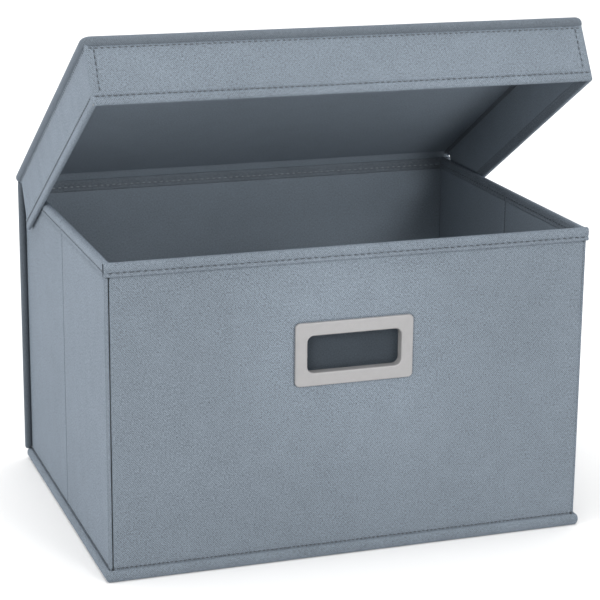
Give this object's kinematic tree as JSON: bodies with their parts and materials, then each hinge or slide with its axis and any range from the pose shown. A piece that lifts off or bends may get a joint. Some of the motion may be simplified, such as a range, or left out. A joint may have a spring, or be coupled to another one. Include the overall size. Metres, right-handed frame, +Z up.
{
  "type": "archival box",
  "caption": "Collapsible cloth-covered archival box with board walls, a skirted hinged lid and a framed hand slot in the front.",
  "frame": {"origin": "middle of the footprint, on the surface the box stands on", "axes": "+Z up; the front with the hand slot faces -Y; +X to the right seen from the front"},
  "size_m": [0.4096, 0.3032, 0.4216],
  "materials": {
    "cover_cloth": "woven twill, matte",
    "binding_cloth": "folded and stitched twill, matte",
    "lining_cloth": "plain lining cloth, matte",
    "board": "grey board, uncoated",
    "handle": "moulded, satin warm grey"
  },
  "bodies": {
    "box_back": {"back_board": "board", "back_cover": "cover_cloth", "back_lining": "lining_cloth", "back_hem": "binding_cloth", "back_left_binding": "binding_cloth", "back_right_binding": "binding_cloth", "base_cloth": "cover_cloth", "base_board": "board", "base_board_cover": "cover_cloth", "base_binding": "binding_cloth", "lid_hinge_cloth": "cover_cloth", "left_rear_fold_cloth": "cover_cloth", "right_rear_fold_cloth": "cover_cloth"},
    "left_rear_wall": {"left_rear_board": "board", "left_rear_cover": "cover_cloth", "left_rear_lining": "lining_cloth", "left_rear_hem": "binding_cloth", "left_crease_cloth": "cover_cloth"},
    "left_front_wall": {"left_front_board": "board", "left_front_cover": "cover_cloth", "left_front_lining": "lining_cloth", "left_front_hem": "binding_cloth", "left_front_fold_cloth": "cover_cloth"},
    "right_rear_wall": {"right_rear_board": "board", "right_rear_cover": "cover_cloth", "right_rear_lining": "lining_cloth", "right_rear_hem": "binding_cloth", "right_crease_cloth": "cover_cloth"},
    "right_front_wall": {"right_front_board": "board", "right_front_cover": "cover_cloth", "right_front_lining": "lining_cloth", "right_front_hem": "binding_cloth", "right_front_fold_cloth": "cover_cloth"},
    "front_wall": {"front_board": "board", "front_cover": "cover_cloth", "front_lining": "lining_cloth", "front_hem": "binding_cloth", "handle_frame": "handle", "handle_ring": "handle"},
    "lid": {"lid_cover": "cover_cloth", "lid_board": "board", "lid_lining": "lining_cloth", "lid_piping": "binding_cloth", "skirt_hem": "binding_cloth", "skirt_front_cover": "cover_cloth", "skirt_front_board": "board", "skirt_front_lining": "lining_cloth", "skirt_left_cover": "cover_cloth", "skirt_left_board": "board", "skirt_left_lining": "lining_cloth", "skirt_right_cover": "cover_cloth", "skirt_right_board": "board", "skirt_right_lining": "lining_cloth"}
  },
  "joints": [
    {"name": "lid_hinge", "type": "hinge", "parent": "box_back", "child": "lid", "pos_m": [0, 0.1515, 0.265], "axis": [-1, 0, 0], "range_deg": [-31, 204], "deforming": ["lid_hinge_cloth"]},
    {"name": "collapse", "type": "hinge", "parent": "box_back", "child": "left_rear_wall", "pos_m": [-0.195, 0.145, 0], "axis": [0, 0, 1], "range_deg": [0, 90], "deforming": ["left_rear_fold_cloth", "base_cloth", "base_binding"]},
    {"name": "left_crease", "type": "hinge", "parent": "left_rear_wall", "child": "left_front_wall", "pos_m": [-0.201, 0, 0], "axis": [0, 0, 1], "range_deg": [-180, 0], "deforming": ["left_crease_cloth"]},
    {"name": "left_front_corner", "type": "hinge", "parent": "left_front_wall", "child": "front_wall", "pos_m": [-0.195, -0.145, 0], "axis": [0, 0, 1], "range_deg": [0, 90], "deforming": ["left_front_fold_cloth"]},
    {"name": "right_rear_corner", "type": "hinge", "parent": "box_back", "child": "right_rear_wall", "pos_m": [0.195, 0.145, 0], "axis": [0, 0, 1], "range_deg": [-90, 0], "deforming": ["right_rear_fold_cloth"]},
    {"name": "right_crease", "type": "hinge", "parent": "right_rear_wall", "child": "right_front_wall", "pos_m": [0.201, 0, 0], "axis": [0, 0, 1], "range_deg": [0, 180], "deforming": ["right_crease_cloth", "right_front_fold_cloth"]}
  ],
  "couplings": [
    {"joint": "left_crease", "follows": "collapse", "ratio": -2},
    {"joint": "left_front_corner", "follows": "collapse", "ratio": 1},
    {"joint": "right_rear_corner", "follows": "collapse", "ratio": -1},
    {"joint": "right_crease", "follows": "collapse", "ratio": 2}
  ]
}
